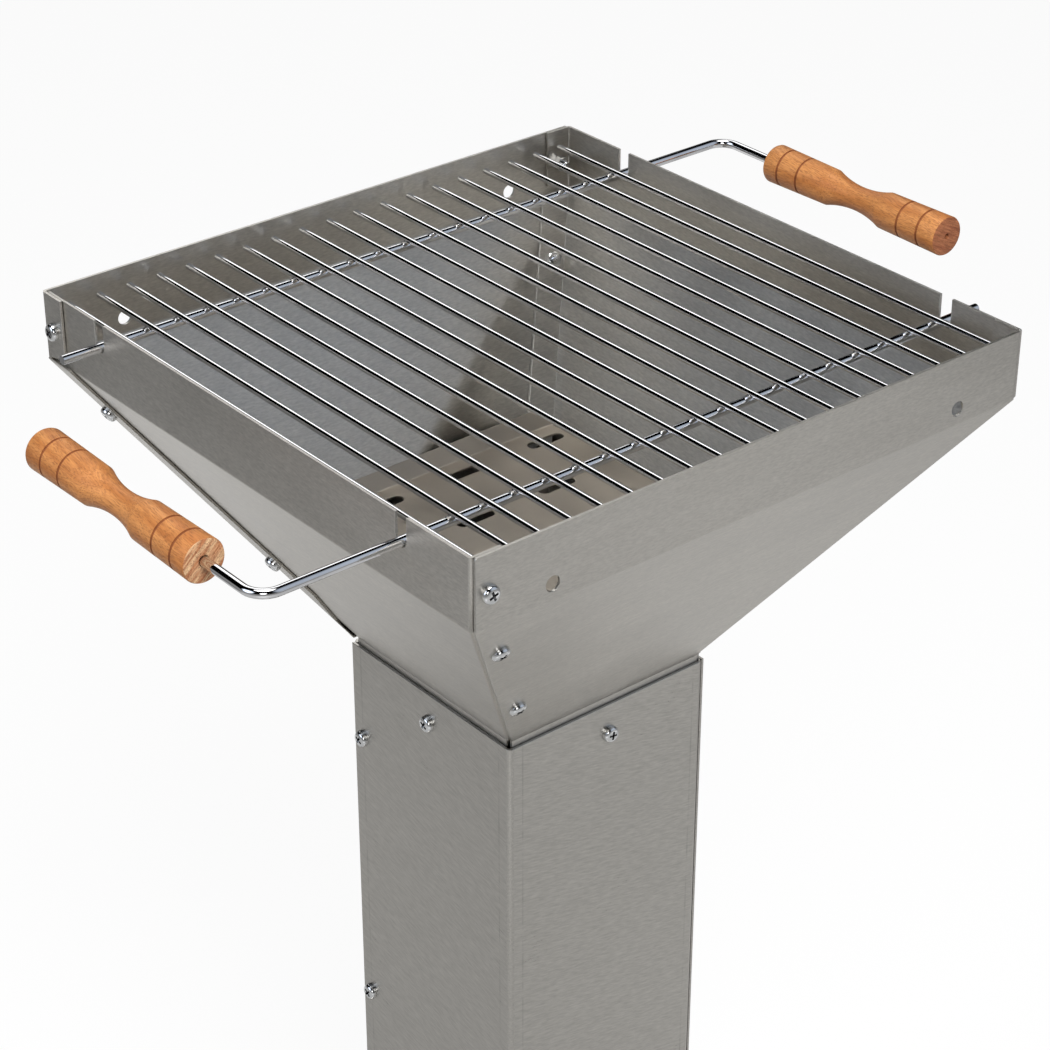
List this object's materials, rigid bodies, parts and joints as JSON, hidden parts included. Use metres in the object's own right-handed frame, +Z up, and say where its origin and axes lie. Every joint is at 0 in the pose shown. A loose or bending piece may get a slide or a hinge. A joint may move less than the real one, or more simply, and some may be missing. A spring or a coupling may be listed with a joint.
{
  "type": "park barbecue grill on a pedestal",
  "caption": "Square sheet-metal charcoal hopper on a square column, with a lift-off wire grate with two turned wooden handles, a slotted coal plate and an ash drawer.",
  "frame": {"origin": "centre of the base plate's underside, on the ground", "axes": "+Z up; the grate's handles lie toward -X and +X; the ash drawer pulls out toward -Y"},
  "size_m": [0.5254, 0.3566, 0.7],
  "materials": {
    "sheet": "fine-brushed stainless sheet",
    "coal_sheet": "dull stainless sheet",
    "base": "mill-finish stainless plate",
    "zinc": "bright plated screws and nuts",
    "wire": "bright plated wire",
    "wood": "oiled turned hardwood"
  },
  "bodies": {
    "grill": {"base_plate": "base", "foot_screws": "zinc", "column_front_shell": "sheet", "column_back_shell": "sheet", "column_seam_screws": "zinc", "column_seam_nuts": "zinc", "neck_screws": "zinc", "neck_nuts": "zinc", "hopper_front": "sheet", "hopper_right": "sheet", "hopper_back": "sheet", "hopper_left": "sheet", "rim_screws": "zinc", "rim_nuts": "zinc", "slope_screws": "zinc", "slope_nuts": "zinc"},
    "grate": {"grate_bars": "wire", "cross_wire_front": "wire", "cross_wire_back": "wire", "handle_left": "wood", "handle_right": "wood"},
    "coal_plate": {"coal_plate": "coal_sheet"},
    "drawer": {"ash_drawer": "sheet"}
  },
  "joints": [
    {"name": "grate_lift", "type": "slide", "parent": "grill", "child": "grate", "axis": [0, 0, 1], "range_m": [0, 0.3]},
    {"name": "coal_plate_lift", "type": "slide", "parent": "grill", "child": "coal_plate", "axis": [0, 0, 1], "range_m": [0, 0.18]},
    {"name": "ash_drawer_slide", "type": "slide", "parent": "grill", "child": "drawer", "axis": [0, -1, 0], "range_m": [0, 0.11]}
  ],
  "couplings": [
    {"joint": "coal_plate_lift", "follows": "grate_lift", "ratio": 0.6}
  ]
}
